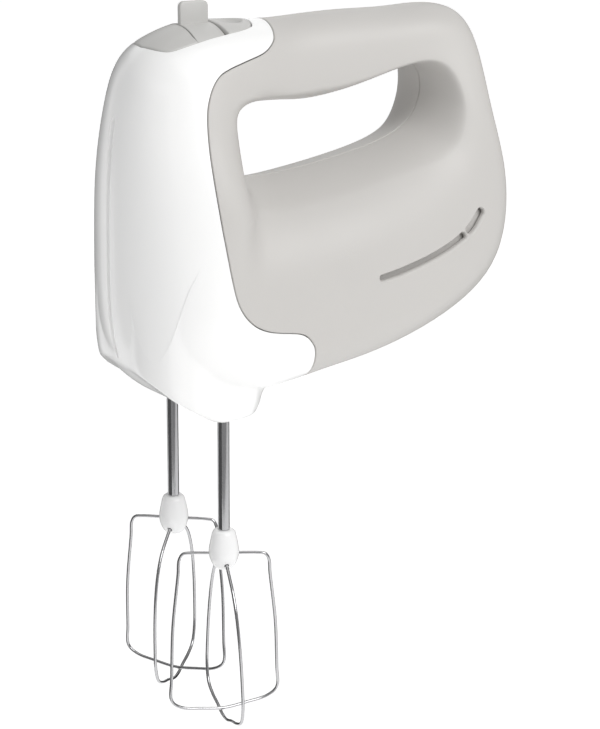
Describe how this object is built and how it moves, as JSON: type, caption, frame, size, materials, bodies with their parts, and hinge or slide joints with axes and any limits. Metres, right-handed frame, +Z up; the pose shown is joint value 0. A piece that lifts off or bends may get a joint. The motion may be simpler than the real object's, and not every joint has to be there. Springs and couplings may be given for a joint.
{
  "type": "hand mixer",
  "caption": "Electric hand mixer with a closed loop handle, nose cover, top controls and wire-loop beaters that pull out of the underside.",
  "frame": {"origin": "on the centre plane, midway between the two beater axes, in the flat face of the boss that the beaters plug into", "axes": "+Z up along the beater axes, -X towards the nose, +X towards the heel, +Y is the side the housing screws enter; the plane Y=0 divides the housing"},
  "size_m": [0.1756, 0.0871, 0.2917],
  "materials": {
    "white_shell": "smooth moulded white ABS",
    "beater_hub": "smooth white plastic hub",
    "grey_shell": "fine satin light grey ABS",
    "control_grey": "satin mid grey",
    "bright_steel": "polished stainless wire and tube",
    "plain_steel": "plain turned steel",
    "nylon": "natural nylon",
    "dark_plastic": "black moulded plastic",
    "lamination": "stacked electrical steel",
    "copper": "enamelled copper",
    "brass": "pressed brass and sintered bronze",
    "carbon": "carbon brush",
    "board": "laminated paper board"
  },
  "bodies": {
    "housing": {"front_cover": "white_shell", "left_housing": "grey_shell", "right_housing": "grey_shell", "housing_screw_1": "plain_steel", "housing_screw_2": "plain_steel", "housing_screw_3": "plain_steel", "housing_screw_4": "plain_steel", "housing_screw_5": "plain_steel", "gear_frame": "dark_plastic", "front_bearing": "brass", "rear_bearing": "brass", "rear_bracket": "dark_plastic", "field_core": "lamination", "lower_field_coil": "copper", "upper_field_coil": "copper", "left_brush_holder": "brass", "right_brush_holder": "brass", "left_brush": "carbon", "right_brush": "carbon", "left_brush_spring": "plain_steel", "right_brush_spring": "plain_steel", "eject_spring": "plain_steel", "selector_pin": "plain_steel", "speed_switch": "dark_plastic", "turbo_switch": "dark_plastic", "circuit_board": "board", "capacitor": "dark_plastic", "cord_gland": "dark_plastic"},
    "ejector": {"eject_button": "control_grey", "eject_pusher": "nylon"},
    "selector": {"speed_selector": "control_grey"},
    "turbo": {"turbo_button": "control_grey"},
    "left_drive": {"left_spindle": "plain_steel", "left_worm_wheel": "nylon"},
    "right_drive": {"right_spindle": "plain_steel", "right_worm_wheel": "nylon"},
    "rotor": {"motor_shaft": "plain_steel", "worm": "plain_steel", "armature_core": "lamination", "front_winding": "copper", "rear_winding": "copper", "commutator": "copper", "cooling_fan": "nylon"},
    "left_beater": {"left_beater_shaft": "bright_steel", "left_beater_hub": "beater_hub", "left_square_loop": "bright_steel", "left_leaf_loop": "bright_steel"},
    "right_beater": {"right_beater_shaft": "bright_steel", "right_beater_hub": "beater_hub", "right_square_loop": "bright_steel", "right_leaf_loop": "bright_steel"}
  },
  "joints": [
    {"name": "left_drive_spin", "type": "hinge", "parent": "housing", "child": "left_drive", "pos_m": [0, -0.0215, 0], "axis": [0, 0, 1], "continuous": true},
    {"name": "right_drive_spin", "type": "hinge", "parent": "housing", "child": "right_drive", "pos_m": [0, 0.0215, 0], "axis": [0, 0, 1], "continuous": true},
    {"name": "rotor_spin", "type": "hinge", "parent": "housing", "child": "rotor", "pos_m": [0, 0, 0.05], "axis": [1, 0, 0], "continuous": true},
    {"name": "left_beater_pull", "type": "slide", "parent": "left_drive", "child": "left_beater", "axis": [0, 0, -1], "range_m": [0, 0.06]},
    {"name": "right_beater_pull", "type": "slide", "parent": "right_drive", "child": "right_beater", "axis": [0, 0, -1], "range_m": [0, 0.06]},
    {"name": "speed_selector_turn", "type": "hinge", "parent": "housing", "child": "selector", "pos_m": [0, 0, 0.1257], "axis": [1, 0, 0], "range_deg": [-13, 13]},
    {"name": "eject_press", "type": "slide", "parent": "housing", "child": "ejector", "axis": [0, 0, -1], "range_m": [0, 0.004], "stiffness_N_per_m": 1500, "springref_m": -0.001, "deforming": ["eject_spring"]},
    {"name": "turbo_press", "type": "slide", "parent": "housing", "child": "turbo", "axis": [0, 0, -1], "range_m": [0, 0.0025], "stiffness_N_per_m": 800, "springref_m": -0.001}
  ],
  "couplings": [
    {"joint": "right_drive_spin", "follows": "left_drive_spin", "ratio": -1},
    {"joint": "rotor_spin", "follows": "left_drive_spin", "ratio": 24}
  ]
}
